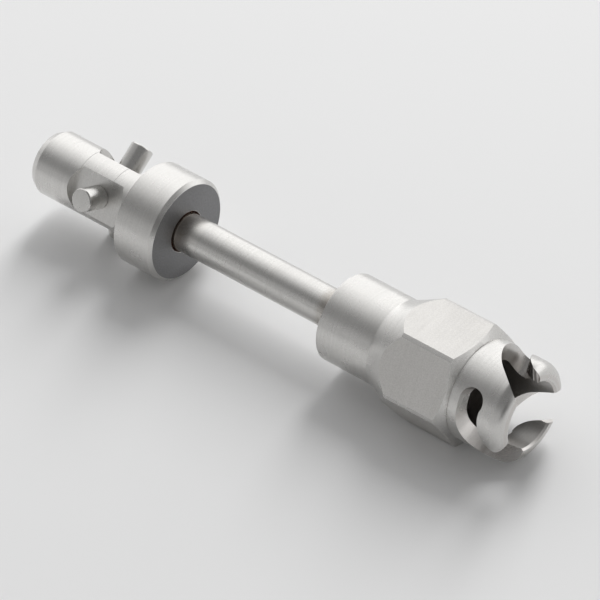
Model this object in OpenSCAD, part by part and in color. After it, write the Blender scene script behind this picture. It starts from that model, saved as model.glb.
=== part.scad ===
// Three-pin bayonet bit extension. A round rod carries a spigot with three radial pins at
// one end and a hexagonal socket with three hooked claws at the other. The claws take the
// pins of the next tool, and a sprung plunger inside the socket presses them home.
// X runs along the tool, from the middle of the spigot's end face at X = 0 to the claws.
// Z is up and one face of the hexagon looks up. Sizes are in millimetres.

/* [Spigot] */
// Diameter of the round spigot
spigot_d = 17; // [15.6:0.1:18.5]
// Length of the spigot from its end face to the shoulder collar
spigot_reach = 32.3; // [30:0.1:40]
// Length of the lead-in chamfer on the spigot's end
spigot_lead = 1.9; // [0.5:0.1:3]
// Height of the lead-in chamfer on the spigot's end
spigot_chamfer = 1.05; // [0.3:0.05:1.5]
// Diameter of the round flat that is milled about each pin
flat_d = 17; // [13:0.1:18]
// Distance from the axis to each flat
flat_r = 6.45; // [6:0.05:7.3]

/* [Bayonet pins] */
// Diameter of each bayonet pin
pin_d = 6; // [5:0.1:6.6]
// Distance from the axis to each pin's tip
pin_reach = 13.3; // [12:0.1:13.4]
// Distance from the end face to the pins' centres
pin_x = 20.8; // [19:0.1:22]
// Depth of each pin below its flat
pin_seat = 3; // [2:0.1:3.3]
// Edge break on each pin's tip
pin_edge = 0.25; // [0.1:0.05:0.6]
// Width of the relief at each pin's foot, just above its flat
pin_relief = 0.3; // [0.1:0.05:0.5]
// Depth of that relief, and of the step down to the shank in the spigot
pin_step = 0.25; // [0.2:0.05:0.5]
// Turn of the pins about the axis from the lower hexagon face, in degrees
pin_turn = 3.5; // [-20:0.5:20]

/* [Shoulder collar] */
// Diameter of the shoulder collar
collar_d = 27; // [24:0.1:27.8]
// Length of the shoulder collar
collar_len = 11.8; // [8:0.1:20]
// Chamfer on the collar's rod end
collar_chamfer = 0.9; // [0.3:0.1:2]
// Edge break on the collar's spigot end
collar_edge = 0.25; // [0.1:0.05:0.6]
// Thickness of the collar's web behind the spigot
collar_web = 2.4; // [1.6:0.1:4]

/* [Rod] */
// Diameter of the rod
rod_d = 10; // [8:0.1:11]
// Length of rod that shows between the collar and the socket
rod_span = 50.9; // [30:0.5:150]
// Depth of the rod's seat in the spigot
rod_seat_front = 12; // [8:0.5:14]
// Depth of the rod's seat in the socket
rod_seat_rear = 9; // [7:0.5:12]
// Radial gap round the rod that the brazing fills
braze_gap = 0.7; // [0.4:0.1:1.2]
// Depth of the brazing's top below the face that the rod enters
braze_recess = 0.7; // [0.3:0.1:1]
// Length of each brazing ring
braze_len = 1.2; // [0.6:0.1:1.5]

/* [Socket] */
// Diameter of the plain cylinder at the socket's rear
rear_d = 23; // [21.5:0.1:25]
// Length of the plain cylinder
rear_len = 14.6; // [10:0.5:30]
// Edge break on the rear face
rear_edge = 0.4; // [0.2:0.1:1]
// Radius of the hollow that leads from the cylinder into the cone
blend_r = 6.5; // [3:0.5:8]
// Slope of the cone up to the hexagon, in degrees
cone_angle = 27; // [20:1:35]
// Width across the hexagon's flats
hex_af = 28; // [27:0.5:30]
// Diameter to which the hexagon's corners are turned
hex_corner_d = 31.7; // [31:0.1:32.2]
// Length of the hexagon's corners
hex_len = 15.05; // [12:0.1:24]
// Slope of the chamfer from the hexagon down to the claws, in degrees
hex_chamfer_angle = 60; // [50:1:70]
// Diameter of the claws
claw_d = 26; // [24.6:0.1:27]
// Length from the hexagon to the end of the claws
claw_len = 15.6; // [15.2:0.1:19]
// Radius of the round on the claws' outer end
claw_round = 3.3; // [1:0.1:3.6]
// Depth of the fine groove at the root of the claws
neck_depth = 0.15; // [0.1:0.05:0.3]
// Width of the fine groove at the root of the claws
neck_width = 0.4; // [0.2:0.1:0.6]

/* [Bore] */
// Gap between the spigot and the bore that takes it, on the radius
bore_gap = 0.25; // [0.1:0.05:0.5]
// Depth of the relief behind the bore's guide land
relief_depth = 0.4; // [0.2:0.1:0.6]
// Width of the edge break where the bore leaves the claws
bore_edge = 0.5; // [0.1:0.1:0.8]
// Thickness of the wall between the spring chamber and the rod's seat
chamber_wall = 1.2; // [0.8:0.1:2]

/* [Bayonet slots] */
// Gap round a mating pin in its slot, on the radius
slot_gap = 0.25; // [0.25:0.05:0.5]
// Distance from the pocket's centre to the end of the claws
pocket_set = 9.6; // [9.2:0.1:10.4]
// How far the hook's lip hangs below the top of the pocket
lip_drop = 0.4; // [0.3:0.05:0.5]
// Angle from the pocket to the lip, in degrees
lip_angle = 12; // [10.5:0.5:14]
// Angle from the pocket to the hook's tip, in degrees
tip_angle = 51.5; // [49:0.5:54]
// Radius of the hook's tip
tip_r = 1.3; // [1:0.1:1.6]
// Angle from the pocket to the far edge of the mouth, in degrees
mouth_angle = 94.5; // [92:0.5:102]
// Slope of the ramp that leads pins in, in degrees
ramp_angle = 54; // [50:1:56]
// Radius between the slot's floor and its ramp
floor_r = 15; // [10:0.5:17]
// Turn of the pockets about the axis from the lower hexagon face, in degrees
slot_turn = -4.5; // [-20:0.5:20]

/* [Plunger and spring] */
// Diameter of the plunger's nose
nose_d = 11.5; // [9:0.1:12]
// How far the plunger stands out past a latched spigot's end
plunger_proud = 3; // [2:0.1:3.5]
// Length of the plunger's flange
flange_len = 3.5; // [2.5:0.1:4]
// Running gap between the plunger and the bore, on the radius
plunger_gap = 0.05; // [0.02:0.01:0.09]
// Diameter of the stem inside the spring
stem_d = 8; // [5:0.5:9]
// Length of the stem inside the spring
stem_len = 4.5; // [3:0.5:5]
// Diameter of the spring's wire
wire_d = 1.1; // [0.8:0.1:1.2]
// Number of turns in the spring
spring_turns = 4; // [3:1:4]
// Thickness of the retaining ring
ring_t = 1.1; // [0.8:0.1:1.3]
// Width of the retaining ring's band
ring_band = 2; // [1.5:0.1:2.2]

/* [Hidden] */

$fn = 96;
eps = 0.01;          // overlap that keeps a cut from ending on a face
over = 2;            // how far a cut runs past the metal
claws = 3;           // pins, slots and claws round the axis
pitch = 360 / claws;
stop_gap = 0.3;      // room between the plunger and each thing that stops it

steel = [0.77, 0.76, 0.74];
dark_steel = [0.55, 0.54, 0.52];
bronze = [0.42, 0.28, 0.20];

// Places along the axis, from the spigot to the claws
collar_end = spigot_reach + collar_len;
spigot_end = collar_end - collar_web;
socket_x = collar_end + rod_span;
rod_start = spigot_end - rod_seat_front;
rod_end = socket_x + rod_seat_rear;
blend_x = socket_x + rear_len;
blend_rise = blend_r * (1 - cos(cone_angle));
cone_x = blend_x + blend_r * sin(cone_angle);
corner_x = cone_x + ((hex_corner_d - rear_d) / 2 - blend_rise) / tan(cone_angle);
corner_end = corner_x + hex_len;
neck_x = corner_end + (hex_corner_d - claw_d) / 2 / tan(hex_chamfer_angle);
claw_end = neck_x + claw_len;
pocket_x = claw_end - pocket_set;

// Pins, pocket and bore
shank_d = pin_d - 2 * pin_step;
pocket_r = pin_d / 2 + slot_gap;
bore_d = spigot_d + 2 * bore_gap;
relief_d = bore_d + 2 * relief_depth;

// A spigot like this one, latched in the claws, ends at latch_x and is pushed as far as push_x
latch_x = pocket_x + slot_gap - pin_x;
push_x = pocket_x - slot_gap - pin_x;
plunger_face = latch_x + plunger_proud;
plunger_travel = plunger_face - push_x + stop_gap;
ring_face = plunger_face - plunger_travel - 2 * stop_gap;
ring_back = ring_face - ring_t;
flange_face = ring_back - stop_gap;
flange_back = flange_face - flange_len;
chamber_x = rod_end + chamber_wall;
relief_x = ring_face + ring_t;
guide_x = plunger_face + over;
groove_d = bore_d + ring_t;
spring_d = bore_d - 2 * wire_d;

// The slot's outline, unrolled on the claws' outside: u runs round from the pocket's centre
// and z runs along the axis from it
mm_per_degree = PI * claw_d / 360;
lip_u = lip_angle * mm_per_degree;
tip_u = tip_angle * mm_per_degree;
mouth_u = mouth_angle * mm_per_degree;
lip_z = pocket_r - lip_drop;
tip_centre = [tip_u - tip_r, pocket_set - tip_r];
tip_run = tip_centre[0] - lip_u;
tip_rise = tip_centre[1] - lip_z;
hook_r = (tip_run ^ 2 + tip_rise ^ 2 - tip_r ^ 2) / (2 * (tip_rise - tip_r));
hook_centre = [lip_u, lip_z + hook_r];
hook_end_angle = atan2(tip_run, hook_centre[1] - tip_centre[1]);
ramp_foot = mouth_u - (pocket_set + pocket_r) / tan(ramp_angle);
floor_end = ramp_foot - floor_r * tan(ramp_angle / 2);
ramp_start = floor_end + floor_r * sin(ramp_angle);
ramp_end = mouth_u + over / tan(ramp_angle);
slot_steps = 12;

// Where the pocket's circle meets the hook's circle, found along the line of their crossing
pocket_to_hook = norm(hook_centre);
cross_run = (pocket_to_hook ^ 2 + pocket_r ^ 2 - hook_r ^ 2) / (2 * pocket_to_hook);
cross_side = sqrt(pocket_r ^ 2 - cross_run ^ 2);
cross_u = (cross_run * hook_centre[0] + cross_side * hook_centre[1]) / pocket_to_hook;

// Lower edge of the slot at u, as [z, share of the side's normal that points round the axis]
function slot_floor(u) =
    u < 0 ? [-sqrt(pocket_r ^ 2 - u ^ 2), u / pocket_r]
    : u < floor_end ? [-pocket_r, 0]
    : u < ramp_start ? [floor_r - pocket_r - sqrt(floor_r ^ 2 - (u - floor_end) ^ 2),
                        (u - floor_end) / floor_r]
    : [pocket_set - (mouth_u - u) * tan(ramp_angle), sin(ramp_angle)];

// Stations along the slot, left to right: [u on the floor, u above it, z above it, share of
// the upper side's normal]. The two places part at the hook's tip, where the upper one goes
// round the tip while the lower one climbs the ramp
pocket_stations = [for (i = [1 : slot_steps])
    let (a = 90 * i / slot_steps, u = -pocket_r * cos(a))
    [u, u, pocket_r * sin(a), -cos(a)]];
crossing_stations = [for (i = [1 : 3]) let (u = cross_u * i / 3)
    [u, u, sqrt(pocket_r ^ 2 - u ^ 2), u / pocket_r]];
hook_start_angle = asin((cross_u - hook_centre[0]) / hook_r);
hook_stations = [for (i = [1 : slot_steps])
    let (a = hook_start_angle + (hook_end_angle - hook_start_angle) * i / slot_steps)
    let (u = hook_centre[0] + hook_r * sin(a))
    [u, u, hook_centre[1] - hook_r * cos(a), -sin(a)]];
tip_stations = [for (i = [1 : slot_steps / 2])
    let (a = hook_end_angle + (90 - hook_end_angle) * i / (slot_steps / 2))
    let (u = tip_centre[0] + tip_r * sin(a))
    [u, u, tip_centre[1] - tip_r * cos(a), -sin(a)]];
mouth_stations = [for (i = [1 : 2 * slot_steps]) let (a = 90 + 90 * i / (2 * slot_steps))
    let (climb = (a / 90 - 1) ^ 0.75)
    [tip_u + (mouth_u + eps - tip_u) * climb, tip_centre[0] + tip_r * sin(a),
     tip_centre[1] - tip_r * cos(a), -sin(a)]];
slot_stations = concat(pocket_stations, crossing_stations, hook_stations, tip_stations,
                       mouth_stations, [[ramp_end, tip_centre[0], pocket_set + over, 0]]);

// A point on a cutter's wall at radius rho. The cutter stands on the axis's radius, so its
// wall keeps the same distance from its own centre line all the way in
function wall_point(rho, u, z, share) =
    let (side = pocket_r * share)
    let (a = u / mm_per_degree - asin(side / (claw_d / 2)) + asin(side / rho))
    [rho * cos(a), rho * sin(a), z];

// One cross-section of a cutter, from outside the claws to inside the bore
function cutter_section(station) =
    let (outer = claw_d / 2 + 2 * over, inner = spigot_d / 2 - over)
    let (low_u = station[0], low = slot_floor(low_u))
    [wall_point(outer, low_u, low[0], low[1]),
     wall_point(outer, station[1], station[2], station[3]),
     wall_point(inner, station[1], station[2], station[3]),
     wall_point(inner, low_u, low[0], low[1])];

// A closed skin over rings that all have the same number of points
module skin(rings) {
    n = len(rings[0]);
    last = len(rings) - 1;
    points = [for (ring = rings) each ring];
    sides = [for (i = [0 : last - 1], j = [0 : n - 1]) let (k = (j + 1) % n)
        each [[i * n + j, i * n + k, (i + 1) * n + k],
              [i * n + j, (i + 1) * n + k, (i + 1) * n + j]]];
    first_cap = [for (j = [1 : n - 2]) [0, j + 1, j]];
    last_cap = [for (j = [1 : n - 2]) [last * n, last * n + j, last * n + j + 1]];
    polyhedron(points, concat(sides, first_cap, last_cap));
}

// Turns a shape built round Z so that it lies along X
module lie_along_x() {
    rotate([0, 90, 0]) children();
}

// A disc or ring between two places along the axis
module band(from, to, outer_d, inner_d = 0) {
    translate([0, 0, from]) difference() {
        cylinder(h = to - from, d = outer_d);
        if (inner_d > 0) translate([0, 0, -over]) cylinder(h = to - from + 2 * over, d = inner_d);
    }
}

// Puts children at each pin's angle, for one pin or for all
module at_pin(i) {
    rotate([0, 0, pin_turn + i * pitch]) children();
}

module spigot() {
    color(steel) lie_along_x() difference() {
        rotate_extrude() polygon([
            [0, 0], [spigot_d / 2 - spigot_chamfer, 0], [spigot_d / 2, spigot_lead],
            [spigot_d / 2, spigot_end], [0, spigot_end]]);
        for (i = [0 : claws - 1]) at_pin(i) {
            translate([flat_r, 0, pin_x]) rotate([0, 90, 0]) cylinder(h = spigot_d, d = flat_d);
            translate([flat_r - pin_seat, 0, pin_x]) rotate([0, 90, 0])
                cylinder(h = spigot_d, d = shank_d);
        }
        translate([0, 0, rod_start]) cylinder(h = rod_seat_front + over, d = rod_d);
    }
}

module bayonet_pin(i) {
    pin_len = pin_reach - flat_r + pin_seat;
    color(steel) lie_along_x() at_pin(i) translate([flat_r - pin_seat, 0, pin_x])
        rotate([0, 90, 0]) rotate_extrude() polygon([
            [0, 0], [shank_d / 2, 0], [shank_d / 2, pin_seat + pin_relief],
            [pin_d / 2, pin_seat + pin_relief], [pin_d / 2, pin_len - pin_edge],
            [pin_d / 2 - pin_edge, pin_len], [0, pin_len]]);
}

module shoulder_collar() {
    seat_r = spigot_d / 2;
    mouth_r = rod_d / 2 + braze_gap;
    color(steel) lie_along_x() rotate_extrude() polygon([
        [seat_r, spigot_reach], [collar_d / 2 - collar_edge, spigot_reach],
        [collar_d / 2, spigot_reach + collar_edge],
        [collar_d / 2, collar_end - collar_chamfer],
        [collar_d / 2 - collar_chamfer, collar_end],
        [mouth_r, collar_end], [mouth_r, spigot_end], [seat_r, spigot_end]]);
}

module rod() {
    color(steel) lie_along_x() band(rod_start, rod_end, rod_d);
}

module front_braze_ring() {
    top = collar_end - braze_recess;
    color(bronze) lie_along_x() band(top - braze_len, top, rod_d + 2 * braze_gap, rod_d);
}

module rear_braze_ring() {
    top = socket_x + braze_recess;
    color(bronze) lie_along_x() band(top, top + braze_len, rod_d + 2 * braze_gap, rod_d);
}

// Outside of the socket as it is turned, before its six flats are milled
module socket_turning() {
    neck_r = claw_d / 2 - neck_depth;
    rotate_extrude() polygon(concat(
        [[0, socket_x], [rear_d / 2 - rear_edge, socket_x], [rear_d / 2, socket_x + rear_edge]],
        [for (a = [0 : cone_angle / 6 : cone_angle])
            [rear_d / 2 + blend_r * (1 - cos(a)), blend_x + blend_r * sin(a)]],
        [[hex_corner_d / 2, corner_x], [hex_corner_d / 2, corner_end],
         [claw_d / 2, neck_x], [neck_r, neck_x + eps], [neck_r, neck_x + neck_width],
         [claw_d / 2, neck_x + neck_width + eps]],
        [for (a = [0 : 7.5 : 90])
            [claw_d / 2 - claw_round * (1 - cos(a)), claw_end - claw_round * (1 - sin(a))]],
        [[0, claw_end]]));
}

// The socket's stepped bore: guide land, relief, ring groove and spring chamber, and behind
// its wall the seat of the rod
module socket_bore() {
    band(chamber_x, claw_end + over, bore_d);
    band(relief_x, guide_x, relief_d);
    band(ring_back, ring_face, groove_d);
    translate([0, 0, claw_end - bore_edge]) cylinder(
        h = bore_edge + eps, d1 = bore_d, d2 = bore_d + 2 * (bore_edge + eps));
    band(socket_x - over, rod_end, rod_d);
    band(socket_x - over, socket_x + braze_recess + braze_len, rod_d + 2 * braze_gap);
}

// Cutter for one slot: pocket, throat and open mouth, and the round on the next hook's tip
module slot_cutter() {
    skin([for (station = slot_stations) cutter_section(station)]);
}

module claw_socket() {
    color(steel) lie_along_x() difference() {
        intersection() {
            socket_turning();
            translate([0, 0, socket_x - over]) rotate([0, 0, 30])
                cylinder(h = claw_end - socket_x + 2 * over, r = hex_af / 2 / cos(30), $fn = 6);
        }
        socket_bore();
        for (i = [0 : claws - 1]) rotate([0, 0, slot_turn + i * pitch])
            translate([0, 0, pocket_x]) slot_cutter();
    }
}

module thrust_plunger() {
    flange_d = bore_d - 2 * plunger_gap;
    color(dark_steel) lie_along_x() rotate_extrude() polygon([
        [0, flange_back - stem_len], [stem_d / 2 - pin_edge, flange_back - stem_len],
        [stem_d / 2, flange_back - stem_len + pin_edge], [stem_d / 2, flange_back],
        [flange_d / 2, flange_back], [flange_d / 2, flange_face], [nose_d / 2, flange_face],
        [nose_d / 2, plunger_face - pin_edge], [nose_d / 2 - pin_edge, plunger_face],
        [0, plunger_face]]);
}

// Compression spring: one six-sided wire wound on a helix from the chamber's wall to the flange
module plunger_spring() {
    wire_r = wire_d / 2;
    centre_r = spring_d / 2 - wire_r;
    rise = (flange_back - chamber_x - wire_d) / spring_turns;
    echo(least_gap_between_curls = rise - wire_d);
    color(dark_steel) lie_along_x() translate([0, 0, chamber_x + wire_r])
        skin([for (i = [0 : 8 * spring_turns]) [for (j = [5 : -1 : 0])
            let (a = 360 * i / 8, b = 60 * j, r = centre_r + wire_r * cos(b))
            [r * cos(a), r * sin(a), rise * i / 8 + wire_r * sin(b)]]]);
}

// Internal retaining ring with a gap that lets it be squeezed into its groove
module retaining_ring() {
    gap_w = 4 * ring_t;
    color(dark_steel) lie_along_x() difference() {
        band(ring_back, ring_face, groove_d, groove_d - 2 * ring_band);
        translate([0, -gap_w / 2, ring_back - over])
            cube([groove_d, gap_w, ring_t + 2 * over]);
    }
}

spigot();
bayonet_pin(0);  // bayonet_pin_1
bayonet_pin(1);  // bayonet_pin_2
bayonet_pin(2);  // bayonet_pin_3
shoulder_collar();
rod();
front_braze_ring();
rear_braze_ring();
claw_socket();
thrust_plunger();
plunger_spring();
retaining_ring();
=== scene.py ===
import math

import bmesh
import bpy
from mathutils import Matrix, Vector


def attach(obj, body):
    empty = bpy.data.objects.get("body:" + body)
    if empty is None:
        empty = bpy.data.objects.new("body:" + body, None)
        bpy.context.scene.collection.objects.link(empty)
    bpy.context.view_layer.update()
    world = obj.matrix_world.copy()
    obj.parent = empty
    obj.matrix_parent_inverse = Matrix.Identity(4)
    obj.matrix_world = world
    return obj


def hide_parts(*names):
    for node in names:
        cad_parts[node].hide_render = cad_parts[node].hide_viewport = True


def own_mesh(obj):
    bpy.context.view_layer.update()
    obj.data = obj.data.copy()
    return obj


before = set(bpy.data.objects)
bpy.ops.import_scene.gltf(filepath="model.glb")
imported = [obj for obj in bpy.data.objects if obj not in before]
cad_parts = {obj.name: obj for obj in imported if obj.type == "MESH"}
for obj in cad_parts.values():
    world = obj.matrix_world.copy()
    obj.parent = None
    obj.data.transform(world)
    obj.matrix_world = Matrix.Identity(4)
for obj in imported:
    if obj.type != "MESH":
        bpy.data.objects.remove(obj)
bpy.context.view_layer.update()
scene = bpy.context.scene
mm = 0.001

# ---------------------------------------------------------------------------------------
# Spigot: a round bar of satin stainless steel, turned with a lead-in chamfer on its end.
# Three round flats are milled into it, one for each pin, and the rod is let into its back.

SPIGOT_R, SPIGOT_END, SHOULDER_X = 8.5, 41.7, 32.3
LEAD, LEAD_DEPTH = 1.9, 1.05
PIN_X, PIN_TURN, CLAWS = 20.8, 3.5, 3
FLAT_R, FLAT_MILL_R, FLAT_MILL_LEN = 6.45, 8.5, 6
SHANK_R, SHANK_DEPTH = 2.75, 3.0
ROD_R, ROD_START = 5.0, 29.7
TOOL_LINES, LINE_HALF, LINE_DEPTH = (13.9, 24.1), 0.07, 0.026


def eased(corners, closed=False, steps=5):
    """A profile's corners (x, radius, edge break) with each break rounded off by short arcs."""
    points = []
    last = len(corners) - 1
    for i, (x, r, ease) in enumerate(corners):
        if ease == 0 or (not closed and i in (0, last)):
            points.append((x, r))
            continue
        here = Vector((x, r))
        before = (Vector(corners[i - 1][:2]) - here).normalized()
        after = (Vector(corners[(i + 1) % len(corners)][:2]) - here).normalized()
        half = before.angle(after) / 2
        reach = ease / math.tan(half)
        middle = here + (before + after).normalized() * (ease / math.sin(half))
        start, end = here + before * reach - middle, here + after * reach - middle
        for s in range(steps + 1):
            arm = start.lerp(end, s / steps).normalized() * ease
            points.append(tuple(middle + arm))
    return points


def turned(name, corners, closed=False, steps=192):
    """A piece turned on the tool's axis, from corners (x, radius, edge break) in millimetres."""
    bm = bmesh.new()
    turns = [2 * math.pi * s / steps for s in range(steps)]
    rings = []
    for x, r in eased(corners, closed):
        if r == 0:
            rings.append([bm.verts.new((x * mm, 0, 0))])
        else:
            rings.append([bm.verts.new((x * mm, r * mm * math.sin(a), -r * mm * math.cos(a)))
                          for a in turns])
    if closed:
        rings.append(rings[0])
    for one, two in zip(rings, rings[1:]):
        for s in range(steps):
            t = (s + 1) % steps
            if len(one) == 1:
                bm.faces.new((one[0], two[s], two[t]))
            elif len(two) == 1:
                bm.faces.new((one[s], two[0], one[t]))
            else:
                bm.faces.new((one[s], two[s], two[t], one[t]))
    bmesh.ops.recalc_face_normals(bm, faces=bm.faces)
    mesh = bpy.data.meshes.new(name)
    bm.to_mesh(mesh)
    bm.free()
    piece = bpy.data.objects.new(name, mesh)
    scene.collection.objects.link(piece)
    return piece


def made_plain(piece):
    """Turns what the piece's modifiers make into its own mesh, and takes the modifiers off."""
    graph = bpy.context.evaluated_depsgraph_get()
    graph.update()
    mesh = bpy.data.meshes.new_from_object(piece.evaluated_get(graph), depsgraph=graph)
    piece.modifiers.clear()
    piece.data = mesh
    return piece


def cut(piece, tools, operation="DIFFERENCE"):
    """Cuts the piece with each tool, and throws the tools away."""
    for tool in tools:
        knife = piece.modifiers.new("cut", "BOOLEAN")
        knife.operation, knife.solver, knife.object = operation, "EXACT", tool
    made_plain(piece)
    for tool in tools:
        bpy.data.objects.remove(tool)
    return piece


def smoothed(piece, sharp=19):
    """Shades the piece smooth, but leaves the edges sharp that turn by more than sharp degrees."""
    piece.data.shade_smooth()
    piece.data.set_sharp_from_angle(angle=math.radians(sharp))
    even = piece.modifiers.new("even", "WEIGHTED_NORMAL")
    even.keep_sharp = True
    return made_plain(piece)


def about_axis(piece, angle):
    """Turns a mesh about the tool's axis by an angle in degrees."""
    piece.data.transform(Matrix.Rotation(math.radians(angle), 4, "X"))
    return piece


# Takes a mesh from the tool's axis to the place of a pin that points straight down
to_pin = Matrix.Translation((PIN_X * mm, 0, 0)) @ Matrix.Rotation(math.pi / 2, 4, "Y")

scribed = []
for x in TOOL_LINES:
    scribed += [(x - LINE_HALF, SPIGOT_R, 0), (x, SPIGOT_R - LINE_DEPTH, 0),
                (x + LINE_HALF, SPIGOT_R, 0)]
spigot = turned("turned_spigot", [
    (0, 0, 0), (0, SPIGOT_R - LEAD_DEPTH, 0.15), (LEAD, SPIGOT_R, 0.25), *scribed,
    (SPIGOT_END, SPIGOT_R, 0.1), (SPIGOT_END, ROD_R, 0.1), (ROD_START, ROD_R, 0.1),
    (ROD_START, 0, 0)])

# Each mill cuts one flat, and the hole for a pin's shank in its floor
pin_foot, mill_top = FLAT_R - SHANK_DEPTH, FLAT_R + FLAT_MILL_LEN
mills = []
for i in range(CLAWS):
    mill = turned("mill", [
        (pin_foot, 0, 0), (pin_foot, SHANK_R, 0), (FLAT_R, SHANK_R, 0), (FLAT_R, FLAT_MILL_R, 0),
        (mill_top, FLAT_MILL_R, 0), (mill_top, 0, 0)], steps=160)
    mill.data.transform(to_pin)
    mills.append(about_axis(mill, PIN_TURN + 360 / CLAWS * i))
cut(spigot, mills)
smoothed(spigot)


def group_of(name, inputs, outputs):
    """An empty group of shader nodes, with its named sockets and its two end nodes."""
    tree = bpy.data.node_groups.new(name, "ShaderNodeTree")
    for label, kind, value in inputs:
        socket = tree.interface.new_socket(label, in_out="INPUT", socket_type=kind)
        if value is not None:
            socket.default_value = value
    for label, kind in outputs:
        tree.interface.new_socket(label, in_out="OUTPUT", socket_type=kind)
    return tree, tree.nodes.new("NodeGroupInput"), tree.nodes.new("NodeGroupOutput")


# The noises behind every metal: ridges that run round the axis, as a tool's feed leaves them,
# an even grain, and slow clouds. Most values of a noise lie from NOISE_LOW to NOISE_HIGH, and
# a ridge is 1 / RIDGE_DRAW times as long round the axis as it is wide along it.
NOISE_LOW, NOISE_HIGH = 0.3, 0.7
RIDGE_DRAW, CLOUDS_PER_M, RELIEF_STRENGTH = 0.02, 110, 0.3

feed_marks, marks_in, marks_out = group_of("feed_marks", [
    ("Vector", "NodeSocketVector", None), ("Ridges per Metre", "NodeSocketFloat", 3000.0),
    ("Grain per Metre", "NodeSocketFloat", 1500.0)],
    [("Ridges", "NodeSocketFloat"), ("Grain", "NodeSocketFloat"), ("Cloud", "NodeSocketFloat")])
ridge_way = feed_marks.nodes.new("ShaderNodeVectorMath")
ridge_way.operation = "MULTIPLY"
ridge_way.inputs[1].default_value = (1, RIDGE_DRAW, RIDGE_DRAW)
ridges = feed_marks.nodes.new("ShaderNodeTexNoise")
ridges.inputs["Detail"].default_value = 2
grain = feed_marks.nodes.new("ShaderNodeTexNoise")
grain.inputs["Detail"].default_value = 2
cloud = feed_marks.nodes.new("ShaderNodeTexNoise")
cloud.inputs["Scale"].default_value = CLOUDS_PER_M
cloud.inputs["Detail"].default_value = 3
link = feed_marks.links.new
link(marks_in.outputs["Vector"], ridge_way.inputs[0])
link(ridge_way.outputs[0], ridges.inputs["Vector"])
link(marks_in.outputs["Ridges per Metre"], ridges.inputs["Scale"])
link(marks_in.outputs["Vector"], grain.inputs["Vector"])
link(marks_in.outputs["Grain per Metre"], grain.inputs["Scale"])
link(marks_in.outputs["Vector"], cloud.inputs["Vector"])
link(ridges.outputs["Fac"], marks_out.inputs["Ridges"])
link(grain.outputs["Fac"], marks_out.inputs["Grain"])
link(cloud.outputs["Fac"], marks_out.inputs["Cloud"])


def set_stops(ramp, stops):
    """Gives a colour ramp its stops, each a place from 0 to 1 and a colour, in rising order."""
    spots = ramp.color_ramp.elements
    for i, (at, shade) in enumerate(stops):
        spot = spots[0] if i == 0 else spots[-1] if i == len(stops) - 1 else spots.new(at)
        spot.position, spot.color = at, (*shade, 1)


def metal(name, dark, light, smooth, rough, ridges_per_m, grain_per_m, depth, grain_share=0.5):
    """A bare metal with marks depth mm deep, between two tones and between two roughnesses.
    Its tone follows the ridges, and the grain by grain_share."""
    finish = bpy.data.materials.new(name)
    finish.use_nodes = True
    nodes, links = finish.node_tree.nodes, finish.node_tree.links
    shader = nodes["Principled BSDF"]
    shader.inputs["Metallic"].default_value = 1
    place = nodes.new("ShaderNodeTexCoord")
    marks = nodes.new("ShaderNodeGroup")
    marks.node_tree = feed_marks
    marks.inputs["Ridges per Metre"].default_value = ridges_per_m
    marks.inputs["Grain per Metre"].default_value = grain_per_m
    links.new(place.outputs["Object"], marks.inputs["Vector"])
    mixed = nodes.new("ShaderNodeMix")
    mixed.inputs["Factor"].default_value = grain_share
    links.new(marks.outputs["Ridges"], mixed.inputs["A"])
    links.new(marks.outputs["Grain"], mixed.inputs["B"])
    tone = nodes.new("ShaderNodeValToRGB")
    set_stops(tone, ((NOISE_LOW, dark), (NOISE_HIGH, light)))
    links.new(mixed.outputs["Result"], tone.inputs["Fac"])
    links.new(tone.outputs["Color"], shader.inputs["Base Color"])
    gloss = nodes.new("ShaderNodeMapRange")
    gloss.inputs["From Min"].default_value = NOISE_LOW
    gloss.inputs["From Max"].default_value = NOISE_HIGH
    gloss.inputs["To Min"].default_value, gloss.inputs["To Max"].default_value = smooth, rough
    links.new(marks.outputs["Cloud"], gloss.inputs["Value"])
    links.new(gloss.outputs["Result"], shader.inputs["Roughness"])
    relief = nodes.new("ShaderNodeBump")
    relief.inputs["Strength"].default_value = RELIEF_STRENGTH
    relief.inputs["Distance"].default_value = depth * mm
    links.new(marks.outputs["Ridges"], relief.inputs["Height"])
    links.new(relief.outputs["Normal"], shader.inputs["Normal"])
    return finish


turned_steel = metal("satin_turned_steel", (0.58, 0.571, 0.554), (0.67, 0.661, 0.643),
                     smooth=0.25, rough=0.30, ridges_per_m=2800, grain_per_m=2600, depth=0.006,
                     grain_share=0.6)
spigot.data.materials.clear()
spigot.data.materials.append(turned_steel)
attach(spigot, "extension")
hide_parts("spigot")

# ---------------------------------------------------------------------------------------
# Bayonet pins: three ground steel pins, pressed into the spigot's flats. Each has a narrow
# relief at its foot and a broken edge at its tip. One pin is turned and set round the axis.

PIN_R, PIN_TIP, PIN_EDGE, PIN_RELIEF = 3.0, 13.3, 0.25, 0.1

pins = turned("bayonet_pins", [
    (pin_foot, 0, 0), (pin_foot, SHANK_R, 0), (FLAT_R + PIN_RELIEF, SHANK_R, 0),
    (FLAT_R + PIN_RELIEF, PIN_R, 0.05), (PIN_TIP - PIN_EDGE, PIN_R, 0.12),
    (PIN_TIP, PIN_R - PIN_EDGE, 0.12), (PIN_TIP, 0, 0)], steps=96)
pins.data.transform(to_pin)
smoothed(pins)

ground_steel = metal("ground_pin_steel", (0.605, 0.596, 0.578), (0.655, 0.646, 0.628),
                     smooth=0.22, rough=0.29, ridges_per_m=2400, grain_per_m=2400, depth=0.004)


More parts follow.
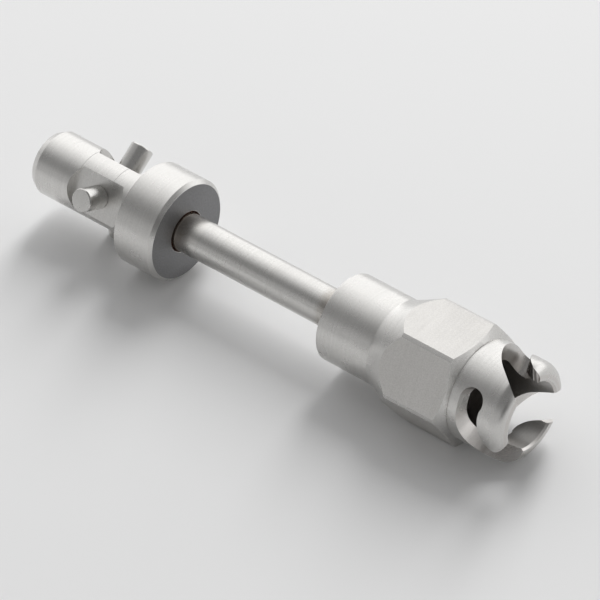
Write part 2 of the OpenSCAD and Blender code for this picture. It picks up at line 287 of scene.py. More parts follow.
def tree_of(name, inputs):
    """An empty tree of geometry nodes with named inputs, and its two end nodes."""
    tree = bpy.data.node_groups.new(name, "GeometryNodeTree")
    tree.interface.new_socket("Geometry", in_out="INPUT", socket_type="NodeSocketGeometry")
    for label, kind in inputs:
        tree.interface.new_socket(label, in_out="INPUT", socket_type=kind)
    tree.interface.new_socket("Geometry", in_out="OUTPUT", socket_type="NodeSocketGeometry")
    return tree, tree.nodes.new("NodeGroupInput"), tree.nodes.new("NodeGroupOutput")


def made_by(piece, tree, **values):
    """Runs a tree of geometry nodes on the piece, with these values, and keeps the result."""
    run = piece.modifiers.new(tree.name, "NODES")
    run.node_group = tree
    for item in tree.interface.items_tree:
        label = item.name.replace(" ", "_")
        if item.in_out == "INPUT" and label in values:
            run[item.identifier] = values[label]
    return made_plain(piece)


round_axis, ring_in, ring_out = tree_of("set_round_the_axis", [
    ("Count", "NodeSocketInt"), ("First Turn", "NodeSocketFloat"),
    ("Finish", "NodeSocketMaterial")])
spots = round_axis.nodes.new("GeometryNodePoints")
number = round_axis.nodes.new("GeometryNodeInputIndex")
share = round_axis.nodes.new("ShaderNodeMath")
share.operation = "DIVIDE"
angle = round_axis.nodes.new("ShaderNodeMath")
angle.operation = "MULTIPLY_ADD"
angle.inputs[1].default_value = 2 * math.pi
turn_x = round_axis.nodes.new("ShaderNodeCombineXYZ")
copies = round_axis.nodes.new("GeometryNodeInstanceOnPoints")
solid = round_axis.nodes.new("GeometryNodeRealizeInstances")
painted = round_axis.nodes.new("GeometryNodeSetMaterial")
link = round_axis.links.new
link(ring_in.outputs["Count"], spots.inputs["Count"])
link(number.outputs["Index"], share.inputs[0])
link(ring_in.outputs["Count"], share.inputs[1])
link(share.outputs["Value"], angle.inputs[0])
link(ring_in.outputs["First Turn"], angle.inputs[2])
link(angle.outputs["Value"], turn_x.inputs["X"])
link(spots.outputs[0], copies.inputs["Points"])
link(ring_in.outputs["Geometry"], copies.inputs["Instance"])
link(turn_x.outputs["Vector"], copies.inputs["Rotation"])
link(copies.outputs["Instances"], solid.inputs["Geometry"])
link(solid.outputs["Geometry"], painted.inputs["Geometry"])
link(ring_in.outputs["Finish"], painted.inputs["Material"])
link(painted.outputs["Geometry"], ring_out.inputs["Geometry"])

made_by(pins, round_axis, Count=CLAWS, First_Turn=math.radians(PIN_TURN), Finish=ground_steel)
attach(pins, "extension")
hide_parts("bayonet_pin_1", "bayonet_pin_2", "bayonet_pin_3")

# ---------------------------------------------------------------------------------------
# Shoulder collar: a stout turned ring of the same satin steel, pushed on behind the pins.
# Its rod end is chamfered, with a narrow gap round the rod for the brazing, and its flat end face
# is painted dark grey, as painted shade.

COLLAR_R, COLLAR_END, COLLAR_CHAMFER, BRAZE_R = 13.5, 44.1, 0.9, 5.5

collar = turned("shoulder_ring", [
    (SHOULDER_X, SPIGOT_R, 0.1), (SHOULDER_X, COLLAR_R, 0.3),
    (COLLAR_END - COLLAR_CHAMFER, COLLAR_R, 0.12),
    (COLLAR_END, COLLAR_R - COLLAR_CHAMFER, 0.12), (COLLAR_END, BRAZE_R, 0.1),
    (SPIGOT_END, BRAZE_R, 0), (SPIGOT_END, SPIGOT_R, 0)], closed=True)
smoothed(collar)
collar.data.materials.append(turned_steel)
collar.data.materials.append(metal(
    "heat_greyed_steel", (0.21, 0.21, 0.213), (0.27, 0.27, 0.275), smooth=0.5, rough=0.58,
    ridges_per_m=1500, grain_per_m=2200, depth=0.006, grain_share=0.8))
# Painted shade: the flat end face towards the rod gets a dark grey steel instead of the turned
# steel
FLAT_ON, PAINTED_SHADE_END = 0.999, 1
for face in collar.data.polygons:
    if face.normal.x > FLAT_ON:
        face.material_index = PAINTED_SHADE_END
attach(collar, "extension")
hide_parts("shoulder_collar")

# ---------------------------------------------------------------------------------------
# Rod: a plain drawn steel bar, let into the spigot and the socket and brazed there. The heat
# has stained its collar end a dull brown. Just behind that, a short band is painted lighter, as
# painted light, and towards the socket the bar turns darker and browner.

ROD_END, SOCKET_X, GRAIN_IN_BORDER = 104.0, 95.0, 0.4

rod = turned("drawn_rod", [(ROD_START, 0, 0), (ROD_START, ROD_R, 0.1), (ROD_END, ROD_R, 0.1),
                           (ROD_END, 0, 0)])
smoothed(rod)
drawn_steel = metal("heat_stained_rod", (0.55, 0.541, 0.523), (0.66, 0.651, 0.633),
                    smooth=0.24, rough=0.31, ridges_per_m=2800, grain_per_m=2600, depth=0.005,
                    grain_share=0.6)


def shaded_along(finish, start, end, patch, stops):
    """Tints a metal along the axis, from start to end, with borders that stray by patch mm."""
    nodes, links = finish.node_tree.nodes, finish.node_tree.links
    along = nodes.new("ShaderNodeSeparateXYZ")
    links.new(nodes["Texture Coordinate"].outputs["Object"], along.inputs["Vector"])
    uneven = nodes.new("ShaderNodeMix")
    uneven.inputs["Factor"].default_value = GRAIN_IN_BORDER
    links.new(nodes["Group"].outputs["Cloud"], uneven.inputs["A"])
    links.new(nodes["Group"].outputs["Grain"], uneven.inputs["B"])
    patchy = nodes.new("ShaderNodeMath")
    patchy.operation = "MULTIPLY_ADD"
    patchy.inputs[1].default_value = patch * mm
    links.new(uneven.outputs["Result"], patchy.inputs[0])
    links.new(along.outputs["X"], patchy.inputs[2])
    span = nodes.new("ShaderNodeMapRange")
    span.inputs["From Min"].default_value = (start + patch / 2) * mm
    span.inputs["From Max"].default_value = (end + patch / 2) * mm
    links.new(patchy.outputs["Value"], span.inputs["Value"])
    stain_and_painted_light = nodes.new("ShaderNodeValToRGB")
    links.new(span.outputs["Result"], stain_and_painted_light.inputs["Fac"])
    set_stops(stain_and_painted_light, stops)
    tint = nodes.new("ShaderNodeMix")
    tint.data_type, tint.blend_type = "RGBA", "MULTIPLY"
    tint.inputs["Factor"].default_value = 1
    links.new(nodes["Color Ramp"].outputs["Color"], tint.inputs["A"])
    links.new(stain_and_painted_light.outputs["Color"], tint.inputs["B"])
    links.new(tint.outputs["Result"], nodes["Principled BSDF"].inputs["Base Color"])


# Painted light: a short band just behind the collar's brown end is painted up to a fifth lighter
# than the bar. Towards the socket the bar turns darker and browner.
shaded_along(drawn_steel, COLLAR_END, SOCKET_X, patch=14, stops=(
    (0, (0.95, 0.88, 0.81)), (0.035, (1.15, 1.11, 1.07)), (0.07, (1.18, 1.17, 1.15)),
    (0.14, (1, 1, 1)), (0.86, (1, 1, 1)),
    (0.9, (0.84, 0.82, 0.8)), (0.94, (0.6, 0.57, 0.54)), (1, (0.45, 0.41, 0.37))))
rod.data.materials.append(drawn_steel)
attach(rod, "extension")
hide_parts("rod")

# ---------------------------------------------------------------------------------------
# Brazing rings: bronze filler that has run into the gap round the rod at either end, a
# little below the steel, with a hollow top where it climbed both walls. Heat has browned it.

BRAZE_RECESS, BRAZE_LEN, HOLLOW, HOLLOW_STEPS = 0.7, 1.2, 0.16, 6

bronze = metal("browned_bronze", (0.025, 0.012, 0.009), (0.08, 0.037, 0.027),
               smooth=0.38, rough=0.55, ridges_per_m=900, grain_per_m=1200, depth=0.03)
for name, node, top, way in (
        ("front_brazing", "front_braze_ring", COLLAR_END - BRAZE_RECESS, -1),
        ("rear_brazing", "rear_braze_ring", SOCKET_X + BRAZE_RECESS, 1)):
    hollow = [(top + way * HOLLOW * math.sin(math.pi * s / HOLLOW_STEPS),
               ROD_R + (BRAZE_R - ROD_R) * s / HOLLOW_STEPS, 0) for s in range(HOLLOW_STEPS + 1)]
    ring = turned(name, hollow + [(top + way * BRAZE_LEN, BRAZE_R, 0),
                                  (top + way * BRAZE_LEN, ROD_R, 0)], closed=True)
    smoothed(ring)
    ring.data.materials.append(bronze)
    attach(ring, "extension")
    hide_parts(node)

# ---------------------------------------------------------------------------------------
# Claw socket: one bar of satin steel, turned, then milled to a hexagon, bored, and slotted
# by a milling cutter into three hooked claws. The rod is brazed into its back.

REAR_R, REAR_EDGE = 11.5, 0.4
CONE_START, CONE_END, CONE_R = math.radians(21), math.radians(27), 30
CONE_EDGE, CONE_STEPS = 0.8, 6
CONE_X, CORNER_X, CORNER_END, NECK_X = 110.8, 119.698, 134.748, 136.393
HEX_FLAT, HEX_CORNER_R = 14.0, 15.85
CLAW_R, CLAW_END, CLAW_ROUND, CLAW_STEPS = 13.0, 151.993, 3.3, 16
NECK_DEPTH, NECK_WIDTH, NECK_WALL, NECK_SLOPE = 0.15, 0.4, 0.05, 0.1
BORE_R, BORE_EDGE, CHAMBER_X, GUIDE_X = 8.75, 0.5, 105.2, 126.843
RELIEF_X, RELIEF_R = 121.543, 9.15
RING_BACK, RING_FACE, GROOVE_R = 119.343, 120.443, 9.3
HEX_OVER, SEAT_OVER, BORE_OVER = 2, 1, 0.5

# The cone's profile is slightly hollow, and the claws' ends are rounded over
outline = [(SOCKET_X, 0, 0), (SOCKET_X, REAR_R, REAR_EDGE)]
for s in range(CONE_STEPS + 1):
    a = CONE_START + (CONE_END - CONE_START) * s / CONE_STEPS
    outline.append((CONE_X + CONE_R * (math.sin(a) - math.sin(CONE_START)),
                    REAR_R + CONE_R * (math.cos(CONE_START) - math.cos(a)),
                    CONE_EDGE if s == 0 else 0))
outline += [(CORNER_X, HEX_CORNER_R, 0), (CORNER_END, HEX_CORNER_R, 0), (NECK_X, CLAW_R, 0),
            (NECK_X + NECK_WALL, CLAW_R - NECK_DEPTH, 0),
            (NECK_X + NECK_WIDTH, CLAW_R - NECK_DEPTH, 0),
            (NECK_X + NECK_WIDTH + NECK_SLOPE, CLAW_R, 0)]
for s in range(CLAW_STEPS + 1):
    a = math.pi / 2 * s / CLAW_STEPS
    outline.append((CLAW_END - CLAW_ROUND * (1 - math.sin(a)),
                    CLAW_R - CLAW_ROUND * (1 - math.cos(a)), 0))
outline.append((CLAW_END, 0, 0))
socket = turned("claw_socket_body", outline, steps=240)

# The hexagon, turned so that the tool can lie on one of its flats
hex_point_r = HEX_FLAT / math.cos(math.pi / 6)
hexagon = turned("hexagon", [
    (SOCKET_X - HEX_OVER, 0, 0), (SOCKET_X - HEX_OVER, hex_point_r, 0),
    (CLAW_END + HEX_OVER, hex_point_r, 0), (CLAW_END + HEX_OVER, 0, 0)], steps=6)
about_axis(hexagon, 30)
cut(socket, [hexagon], "INTERSECT")

# The bore, with the retaining ring's groove and the relief behind its guiding part
bore = turned("bore", [
    (CHAMBER_X, 0, 0), (CHAMBER_X, BORE_R, 0), (RING_BACK, BORE_R, 0), (RING_BACK, GROOVE_R, 0),
    (RING_FACE, GROOVE_R, 0), (RING_FACE, BORE_R, 0), (RELIEF_X, BORE_R, 0),
    (RELIEF_X, RELIEF_R, 0), (GUIDE_X, RELIEF_R, 0), (GUIDE_X, BORE_R, 0),
    (CLAW_END - BORE_EDGE, BORE_R, 0),
    (CLAW_END + BORE_OVER, BORE_R + BORE_EDGE + BORE_OVER, 0), (CLAW_END + BORE_OVER, 0, 0)])
braze_end = SOCKET_X + BRAZE_RECESS + BRAZE_LEN
rod_seat = turned("rod_seat", [
    (SOCKET_X - SEAT_OVER, 0, 0), (SOCKET_X - SEAT_OVER, BRAZE_R, 0), (braze_end, BRAZE_R, 0),
    (braze_end, ROD_R, 0), (ROD_END, ROD_R, 0), (ROD_END, 0, 0)])
cut(socket, [bore, rod_seat])

# The slot's outline, unrolled on the claws' outside: u runs round and z along the axis, both
# from the middle of the pocket. Its upper side goes over the pocket, along the hollow of the
# hook and round the hook's tip. Its lower side goes under the pocket, along a floor and up a
# ramp to the mouth.
POCKET_X, POCKET_R, SLOT_TURN = 142.393, 3.25, -4.5
POCKET_SET, LIP_DROP, TIP_R = 9.6, 0.4, 1.3
LIP_ANGLE, TIP_ANGLE, MOUTH_ANGLE = 12, 51.5, 94.5
RAMP, FLOOR_R = math.radians(54), 15

mm_per_degree = math.pi * CLAW_R / 180
lip_u, tip_u, mouth_u = (a * mm_per_degree for a in (LIP_ANGLE, TIP_ANGLE, MOUTH_ANGLE))
tip_u0, tip_z0 = tip_u - TIP_R, POCKET_SET - TIP_R
rise, run = tip_z0 - (POCKET_R - LIP_DROP), tip_u0 - lip_u
hook_r = (run ** 2 + rise ** 2 - TIP_R ** 2) / (2 * (rise - TIP_R))
hook_z0 = POCKET_R - LIP_DROP + hook_r
hook_end = math.atan2(run, hook_z0 - tip_z0)
floor_end = mouth_u - (POCKET_SET + POCKET_R) / math.tan(RAMP) - FLOOR_R * math.tan(RAMP / 2)
ramp_start = floor_end + FLOOR_R * math.sin(RAMP)
reach = math.hypot(lip_u, hook_z0)
cross_run = (reach ** 2 + POCKET_R ** 2 - hook_r ** 2) / (2 * reach)
cross_u = (cross_run * lip_u + math.sqrt(POCKET_R ** 2 - cross_run ** 2) * hook_z0) / reach


def floor_at(u):
    """Height of the slot's lower side at u, and the share of its normal that points round."""
    if u < 0:
        return -math.sqrt(max(0.0, POCKET_R ** 2 - u ** 2)), u / POCKET_R
    if u < floor_end:
        return -POCKET_R, 0
    if u < ramp_start:
        return (FLOOR_R - POCKET_R - math.sqrt(FLOOR_R ** 2 - (u - floor_end) ** 2),
                (u - floor_end) / FLOOR_R)
    return POCKET_SET - (mouth_u - u) * math.tan(RAMP), math.sin(RAMP)


# Stations along the slot: u on the lower side, and u, z and the normal's share on the upper
POCKET_STEPS, LIP_STEPS, HOOK_STEPS, TIP_STEPS, MOUTH_STEPS = 24, 5, 24, 12, 48
MOUTH_EASE, MOUTH_OVER = 0.75, 2

stations = []
for s in range(1, POCKET_STEPS + 1):
    a = math.pi / 2 * s / POCKET_STEPS
    u = -POCKET_R * math.cos(a)
    stations.append((u, u, POCKET_R * math.sin(a), -math.cos(a)))
for s in range(1, LIP_STEPS + 1):
    u = cross_u * s / LIP_STEPS
    stations.append((u, u, math.sqrt(POCKET_R ** 2 - u ** 2), u / POCKET_R))
hook_start = math.asin((cross_u - lip_u) / hook_r)
for s in range(1, HOOK_STEPS + 1):
    a = hook_start + (hook_end - hook_start) * s / HOOK_STEPS
    u = lip_u + hook_r * math.sin(a)
    stations.append((u, u, hook_z0 - hook_r * math.cos(a), -math.sin(a)))
for s in range(1, TIP_STEPS + 1):
    a = hook_end + (math.pi / 2 - hook_end) * s / TIP_STEPS
    u = tip_u0 + TIP_R * math.sin(a)
    stations.append((u, u, tip_z0 - TIP_R * math.cos(a), -math.sin(a)))
for s in range(1, MOUTH_STEPS + 1):
    a = math.pi / 2 * (1 + s / MOUTH_STEPS)
    climb = (s / MOUTH_STEPS) ** MOUTH_EASE
    stations.append((tip_u + (mouth_u - tip_u) * climb, tip_u0 + TIP_R * math.sin(a),
                     tip_z0 - TIP_R * math.cos(a), -math.sin(a)))
stations.append((mouth_u + MOUTH_OVER / math.tan(RAMP), tip_u0, POCKET_SET + MOUTH_OVER, 0))


def slot_wall(radius, u, z, share):
    """A point on the slot's wall: the wall keeps its distance from the cutter's own middle."""
    side = POCKET_R * share
    a = math.radians(u / mm_per_degree) - math.asin(side / CLAW_R) + math.asin(side / radius)
    return Vector((POCKET_X + z, radius * math.sin(a), -radius * math.cos(a))) * mm


# Each mill reaches from inside the bore to outside the claws
MILL_OUT, MILL_IN = 17, 6.5

mills = []
for i in range(CLAWS):
    bm = bmesh.new()
    sections = []
    for low_u, high_u, high_z, high_share in stations:
        low_z, low_share = floor_at(low_u)
        sections.append([bm.verts.new(p) for p in (
            slot_wall(MILL_OUT, low_u, low_z, low_share),
            slot_wall(MILL_OUT, high_u, high_z, high_share),
            slot_wall(MILL_IN, high_u, high_z, high_share),
            slot_wall(MILL_IN, low_u, low_z, low_share))])
    for one, two in zip(sections, sections[1:]):
        for s in range(len(one)):
            t = (s + 1) % len(one)
            bm.faces.new((one[s], one[t], two[t], two[s]))
    bm.faces.new(sections[0])
    bm.faces.new(reversed(sections[-1]))
    bmesh.ops.recalc_face_normals(bm, faces=bm.faces)
    bmesh.ops.triangulate(bm, faces=bm.faces)
    mesh = bpy.data.meshes.new("slot_mill")
    bm.to_mesh(mesh)
    bm.free()
    mill = bpy.data.objects.new("slot_mill", mesh)
    scene.collection.objects.link(mill)
    mills.append(about_axis(mill, SLOT_TURN + 360 / CLAWS * i))
cut(socket, mills)
smoothed(socket)

milled_steel = metal("milled_flat_steel", (0.565, 0.552, 0.532), (0.685, 0.672, 0.652),
                     smooth=0.34, rough=0.42, ridges_per_m=1500, grain_per_m=3200, depth=0.005,
                     grain_share=0.8)
slot_steel = metal("milled_slot_steel", (0.565, 0.545, 0.525), (0.64, 0.62, 0.6),
                   smooth=0.24, rough=0.32, ridges_per_m=1800, grain_per_m=2200, depth=0.006)
# Painted shade: the bore's steel is painted darker than the turned steel, and darker still from
# the pocket inwards
bore_steel = metal("dark_bore_steel", (0.50, 0.49, 0.475), (0.58, 0.57, 0.555),
                   smooth=0.34, rough=0.42, ridges_per_m=2400, grain_per_m=1800, depth=0.006)
shaded_along(bore_steel, POCKET_X - POCKET_R, CLAW_END, patch=1.5, stops=(
    (0, (0.9, 0.88, 0.86)), (0.2, (0.93, 0.91, 0.89)), (0.55, (1, 1, 1)), (1, (1, 1, 1))))
for finish in (turned_steel, milled_steel, slot_steel, bore_steel):
    socket.data.materials.append(finish)

# The faces keep the turned finish, but for the hexagon's flats, the bore and the slots' walls
TURNED, MILLED, SLOTTED, BORED = range(4)
LEVEL, TOUCHING, NEAR_AXIS = 1e-3, 1e-5, 1e-9
INWARD, SIDEWAYS, BORE_SPARE = -0.9, 0.3, 0.05
flat_turns = [math.radians(60 * k) for k in range(6)]
for face in socket.data.polygons:
    middle, normal = face.center, face.normal
    radius = math.hypot(middle.y, middle.z)
    outward = (normal.y * middle.y + normal.z * middle.z) / max(radius, NEAR_AXIS)
    on_flat = abs(normal.x) < LEVEL and any(
        abs(middle.y * math.sin(a) + middle.z * math.cos(a) - HEX_FLAT * mm) < TOUCHING
        for a in flat_turns)
    in_bore = (middle.x > (CHAMBER_X - BORE_SPARE) * mm and outward < INWARD
               and radius < (GROOVE_R + BORE_SPARE) * mm)
    in_slot = (middle.x > (NECK_X + NECK_WIDTH) * mm and outward < SIDEWAYS
               and abs(normal.x) < FLAT_ON)
    face.material_index = (MILLED if on_flat else BORED if in_bore
                           else SLOTTED if in_slot else TURNED)
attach(socket, "extension")
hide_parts("claw_socket")

# ---------------------------------------------------------------------------------------
# Thrust plunger: a hardened steel plug that slides in the bore and presses the next tool's
# spigot against its pins. Its flange runs behind the retaining ring, its stem in the spring.

PLUNGER_FACE, FLANGE_FACE, FLANGE_BACK = 124.843, 119.043, 115.543
NOSE_R, FLANGE_R, STEM_R, STEM_LEN = 5.75, 8.7, 4.0, 4.5
CENTRE_R, CENTRE_DEPTH = 1.2, 0.8

plunger = turned("sprung_plunger", [
    (FLANGE_BACK - STEM_LEN, 0, 0), (FLANGE_BACK - STEM_LEN, STEM_R, 0.25),
    (FLANGE_BACK, STEM_R, 0.1), (FLANGE_BACK, FLANGE_R, 0.2),
    (FLANGE_FACE, FLANGE_R, 0.2), (FLANGE_FACE, NOSE_R, 0.1),
    (PLUNGER_FACE, NOSE_R, 0.3), (PLUNGER_FACE, CENTRE_R, 0.1),
    (PLUNGER_FACE - CENTRE_DEPTH, 0, 0)])
smoothed(plunger)
# Its dark tone is painted shade, so that the bore reads black behind the claws
plunger.data.materials.append(metal(
    "hardened_plunger_steel", (0.16, 0.155, 0.15), (0.24, 0.235, 0.225), smooth=0.3, rough=0.4,
    ridges_per_m=1800, grain_per_m=1500, depth=0.01))
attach(plunger, "plunger")
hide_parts("thrust_plunger")

# ---------------------------------------------------------------------------------------
# Plunger spring: round steel wire coiled cold, between the chamber's end wall and the
# plunger's flange. It is oiled and dark. It is built at rest; nothing here shortens it as the
# plunger goes in.

WIRE_R, SPRING_TURNS, SPRING_R, TRAVEL = 0.55, 4, 7.65, 3.8

oiled_steel = metal("oiled_spring_steel", (0.13, 0.125, 0.12), (0.2, 0.195, 0.185),
                    smooth=0.25, rough=0.35, ridges_per_m=1500, grain_per_m=1500, depth=0.008)
coiled, coil_in, coil_out = tree_of("coiled_wire", [
    ("Turns", "NodeSocketFloat"), ("Coil Radius", "NodeSocketFloat"), ("Rise", "NodeSocketFloat"),
    ("Wire Radius", "NodeSocketFloat"), ("Start", "NodeSocketVector"),
    ("Finish", "NodeSocketMaterial")])
helix = coiled.nodes.new("GeometryNodeCurveSpiral")
helix.inputs["Resolution"].default_value = 48
wire = coiled.nodes.new("GeometryNodeCurvePrimitiveCircle")
wire.inputs["Resolution"].default_value = 16
swept = coiled.nodes.new("GeometryNodeCurveToMesh")
swept.inputs["Fill Caps"].default_value = True
laid = coiled.nodes.new("GeometryNodeTransform")
laid.inputs["Rotation"].default_value = (0, math.pi / 2, 0)
solid = coiled.nodes.new("GeometryNodeRealizeInstances")
painted = coiled.nodes.new("GeometryNodeSetMaterial")
link = coiled.links.new
link(coil_in.outputs["Turns"], helix.inputs["Rotations"])
link(coil_in.outputs["Coil Radius"], helix.inputs["Start Radius"])
link(coil_in.outputs["Coil Radius"], helix.inputs["End Radius"])
link(coil_in.outputs["Rise"], helix.inputs["Height"])
link(coil_in.outputs["Wire Radius"], wire.inputs["Radius"])
link(coil_in.outputs["Start"], laid.inputs["Translation"])
link(helix.outputs["Curve"], swept.inputs["Curve"])
link(wire.outputs["Curve"], swept.inputs["Profile Curve"])
link(swept.outputs["Mesh"], laid.inputs["Geometry"])
link(laid.outputs["Geometry"], solid.inputs["Geometry"])
link(solid.outputs["Geometry"], painted.inputs["Geometry"])
link(coil_in.outputs["Finish"], painted.inputs["Material"])
link(painted.outputs["Geometry"], coil_out.inputs["Geometry"])
spring = bpy.data.objects.new("coiled_spring", bpy.data.meshes.new("coiled_spring"))
scene.collection.objects.link(spring)
made_by(spring, coiled, Turns=float(SPRING_TURNS), Coil_Radius=(SPRING_R - WIRE_R) * mm,
        Rise=(FLANGE_BACK - CHAMBER_X - 2 * WIRE_R) * mm, Wire_Radius=WIRE_R * mm,
        Start=((CHAMBER_X + WIRE_R) * mm, 0, 0), Finish=oiled_steel)
smoothed(spring, sharp=60)
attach(spring, "extension")
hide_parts("plunger_spring")
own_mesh(spring)

# ---------------------------------------------------------------------------------------
# Retaining ring: a spring steel snap ring in the bore's groove, which holds the plunger in.
# It is stamped, with a lug and a plier hole at each side of its gap.

RING_BAND, LUG_R, LUG_OUT, LUG_HOLE_R, HALF_GAP, RING_TURN = 2.0, 1.6, 0.3, 0.55, 2.4, 30


def arc(x, y, radius, start, end, steps):
    """Points on an arc round (x, y), from one angle to another."""
    angles = (start + (end - start) * s / steps for s in range(steps + 1))
    return [(x + radius * math.cos(a), y + radius * math.sin(a)) for a in angles]


stamped = bpy.data.curves.new("snap_ring", "CURVE")
stamped.dimensions, stamped.fill_mode = "2D", "BOTH"
stamped.extrude = (RING_FACE - RING_BACK) / 2 * mm
inner_r = GROOVE_R - RING_BAND
gap_turn = math.asin(HALF_GAP / GROOVE_R)
lug_turn = math.asin((HALF_GAP + LUG_R) / (inner_r + LUG_OUT))
lug_x, lug_y = (inner_r + LUG_OUT) * math.cos(lug_turn), (inner_r + LUG_OUT) * math.sin(lug_turn)
back_turn = lug_turn + math.asin(LUG_R / inner_r)
rim = arc(0, 0, GROOVE_R, gap_turn, 2 * math.pi - gap_turn, 96)
rim += arc(lug_x, -lug_y, LUG_R, math.radians(90), math.radians(234), 8)
rim += arc(0, 0, inner_r, -back_turn, back_turn - 2 * math.pi, 72)
rim += arc(lug_x, lug_y, LUG_R, math.radians(126), math.radians(270), 8)
holes = [arc(lug_x, side * lug_y, LUG_HOLE_R, 0, math.radians(340), 17) for side in (1, -1)]
for loop in (rim, *holes):
    spline = stamped.splines.new("POLY")
    spline.points.add(len(loop) - 1)
    for point, (y, z) in zip(spline.points, loop):
        point.co = (y * mm, z * mm, 0, 1)
    spline.use_cyclic_u = True
flat_ring = bpy.data.objects.new("flat_ring", stamped)
scene.collection.objects.link(flat_ring)
graph = bpy.context.evaluated_depsgraph_get()
graph.update()
mesh = bpy.data.meshes.new_from_object(flat_ring.evaluated_get(graph), depsgraph=graph)
bpy.data.objects.remove(flat_ring)
mesh.transform(Matrix.Translation(((RING_BACK + RING_FACE) / 2 * mm, 0, 0))
               @ Matrix.Rotation(math.radians(RING_TURN), 4, "X")
               @ Matrix.Rotation(math.pi / 2, 4, "Y"))
snap_ring = bpy.data.objects.new("snap_ring", mesh)
scene.collection.objects.link(snap_ring)
bm = bmesh.new()
bm.from_mesh(mesh)
bmesh.ops.remove_doubles(bm, verts=bm.verts, dist=1e-6)
bmesh.ops.recalc_face_normals(bm, faces=bm.faces)
bm.to_mesh(mesh)
bm.free()
mesh.materials.clear()
mesh.materials.append(oiled_steel)
smoothed(snap_ring)
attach(snap_ring, "extension")
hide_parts("retaining_ring")

# ---------------------------------------------------------------------------------------
# Studio: the tool lies on a plain pale table, on its hexagon's lower face. The light is one
# soft dome, as the photograph's steel shows it. A softbox that no steel reflects lights the
# table, so that the tool has a soft shadow.

TABLE_X, TABLE_Z, TABLE_R, TABLE_SHADE = 80, -HEX_FLAT, 3000, 0.8

floor_mesh = bpy.data.meshes.new("table_top")
bm = bmesh.new()
bmesh.ops.create_circle(bm, cap_ends=True, segments=96, radius=TABLE_R * mm)
bm.to_mesh(floor_mesh)
bm.free()
floor_mesh.transform(Matrix.Translation((TABLE_X * mm, 0, TABLE_Z * mm)))
floor = bpy.data.objects.new("table_top", floor_mesh)
scene.collection.objects.link(floor)
pale = bpy.data.materials.new("pale_table")
pale.use_nodes = True
matt = pale.node_tree.nodes["Principled BSDF"]
matt.inputs["Base Color"].default_value = (TABLE_SHADE, TABLE_SHADE, TABLE_SHADE, 1)
matt.inputs["Roughness"].default_value = 1
matt.inputs["Specular IOR Level"].default_value = 0
floor_mesh.materials.append(pale)

# The dome is bright behind and dim in front, by the direction's Y with a little of its Z
DOME_STRENGTH, FRONT, BACK, HEIGHT_SHARE = 1.6, -1.05, 1.1, 0.25

world = bpy.data.worlds.new("soft_dome")
scene.world = world
world.use_nodes = True
nodes, links = world.node_tree.nodes, world.node_tree.links
nodes["Background"].inputs["Strength"].default_value = DOME_STRENGTH
sky = nodes.new("ShaderNodeTexCoord")
way = nodes.new("ShaderNodeSeparateXYZ")
links.new(sky.outputs["Generated"], way.inputs["Vector"])


def worked_out(kind, one, two):
    """One step of arithmetic on two values, each a socket or a plain number."""
    step = nodes.new("ShaderNodeMath")
    step.operation = kind
    for i, value in enumerate((one, two)):
        if isinstance(value, (int, float)):
            step.inputs[i].default_value = value
        else:
            links.new(value, step.inputs[i])
    return step.outputs[0]


def rising(value, low, high):
    """How far a value has come from low to high, from 0 to 1."""
    share = nodes.new("ShaderNodeMapRange")
    share.inputs["From Min"].default_value, share.inputs["From Max"].default_value = low, high
    links.new(value, share.inputs["Value"])
    return share.outputs["Result"]


height = worked_out("MULTIPLY", way.outputs["Z"], HEIGHT_SHARE)
backward = worked_out("ADD", way.outputs["Y"], height)
front_to_back = nodes.new("ShaderNodeValToRGB")
links.new(rising(backward, FRONT, BACK), front_to_back.inputs["Fac"])
set_stops(front_to_back, [((at - FRONT) / (BACK - FRONT), (shine, shine, shine)) for at, shine in (
    (FRONT, 0.37), (-0.97, 0.36), (-0.84, 0.33), (-0.72, 0.34), (-0.66, 0.26), (-0.58, 0.2),
    (-0.377, 0.185), (-0.25, 0.23), (-0.14, 0.28), (0, 0.4), (0.73, 0.98), (0.731, 0.9458),
    (BACK, 0.96))])

# Past the tool's two ends, -X and +X, its bright part stands out more from its dim part
END_FROM, END_TO = 0.6, 0.85

level = front_to_back.outputs["Color"]
for side, base, slope in ((-1, 0.75, 0.55), (1, 0.25, 0.8)):
    past_end = nodes.new("ShaderNodeMix")
    sideways = worked_out("MULTIPLY", way.outputs["X"], side)
    gain = worked_out("ADD", worked_out("MULTIPLY", level, slope), base)
    links.new(rising(sideways, END_FROM, END_TO), past_end.inputs["Factor"])
    links.new(level, past_end.inputs["A"])
    links.new(worked_out("MULTIPLY", level, gain), past_end.inputs["B"])
    level = past_end.outputs["Result"]

# Overhead it is bright only in one strip, to the left of the tool's middle
STRIP_X, STRIP_FROM, STRIP_TO = -0.58, 0.27, 0.4
OVERHEAD, ABOVE_FROM, ABOVE_TO = 0.15, 0.35, 0.6

off_strip = worked_out("ABSOLUTE", worked_out("SUBTRACT", way.outputs["X"], STRIP_X), 0)
beside = rising(off_strip, STRIP_FROM, STRIP_TO)
above = rising(way.outputs["Z"], ABOVE_FROM, ABOVE_TO)
light = nodes.new("ShaderNodeMix")
links.new(worked_out("MULTIPLY", beside, above), light.inputs["Factor"])
links.new(level, light.inputs["A"])
links.new(worked_out("MINIMUM", level, OVERHEAD), light.inputs["B"])
links.new(light.outputs["Result"], nodes["Background"].inputs["Color"])

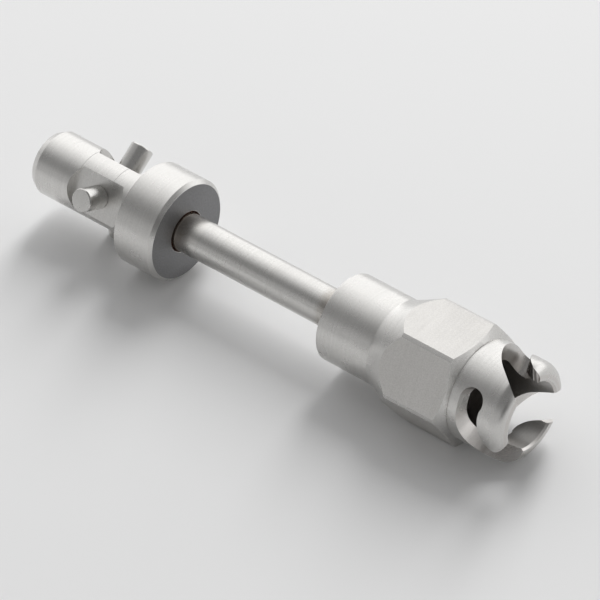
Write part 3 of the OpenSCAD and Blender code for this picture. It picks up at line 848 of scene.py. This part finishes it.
# The softbox stands behind the tool on its left, and faces the table, in metres and watts
SOFTBOX_WIDTH, SOFTBOX_HEIGHT, SOFTBOX_WATTS = 0.5, 1.3, 20
SOFTBOX_AT, SOFTBOX_AIM = Vector((-0.32, 1.24, 1.08)), Vector((0.07, 0, TABLE_Z * mm))

softbox = bpy.data.objects.new("softbox", bpy.data.lights.new("softbox", "AREA"))
scene.collection.objects.link(softbox)
softbox.data.shape, softbox.data.energy = "RECTANGLE", SOFTBOX_WATTS
softbox.data.size, softbox.data.size_y = SOFTBOX_WIDTH, SOFTBOX_HEIGHT
facing = (SOFTBOX_AT - SOFTBOX_AIM).to_track_quat("Z", "Y")
softbox.matrix_world = Matrix.Translation(SOFTBOX_AT) @ facing.to_matrix().to_4x4()
softbox.visible_glossy = False
softbox.visible_camera = False

# The camera, fitted to the photograph's outline. It looks down on the tool by its tilt, along
# it by ALONG, the cosine of the angle between the view and the axis, and is rolled.
PHOTO_SIZE, PIXELS_PER_MM, DISTANCE, SENSOR = 600, 4.1616, 1385, 36
TILT, ROLL, ALONG = math.radians(50.9), math.radians(28.12), 0.505
AIM_X, AIM_DROP = 81.5, 1.665

camera = bpy.data.objects.new("camera", bpy.data.cameras.new("camera"))
scene.collection.objects.link(camera)
back_flat = Vector((0, -math.cos(TILT), math.sin(TILT)))
up_flat = Vector((0, math.sin(TILT), math.cos(TILT)))
back = ALONG * Vector((1, 0, 0)) + math.sqrt(1 - ALONG ** 2) * back_flat
across = (Vector((1, 0, 0)) - ALONG * back).normalized()
right = math.cos(ROLL) * across + math.sin(ROLL) * up_flat
up = math.cos(ROLL) * up_flat - math.sin(ROLL) * across
stand = Vector((AIM_X, 0, 0)) - AIM_DROP * up_flat + DISTANCE * back
camera.matrix_world = Matrix((
    (right.x, up.x, back.x, stand.x * mm), (right.y, up.y, back.y, stand.y * mm),
    (right.z, up.z, back.z, stand.z * mm), (0, 0, 0, 1)))
camera.data.sensor_width = SENSOR
camera.data.lens = PIXELS_PER_MM * DISTANCE / PHOTO_SIZE * SENSOR
camera.data.clip_start, camera.data.clip_end = 0.01, 20
scene.camera = camera
scene.view_settings.view_transform = "Standard"
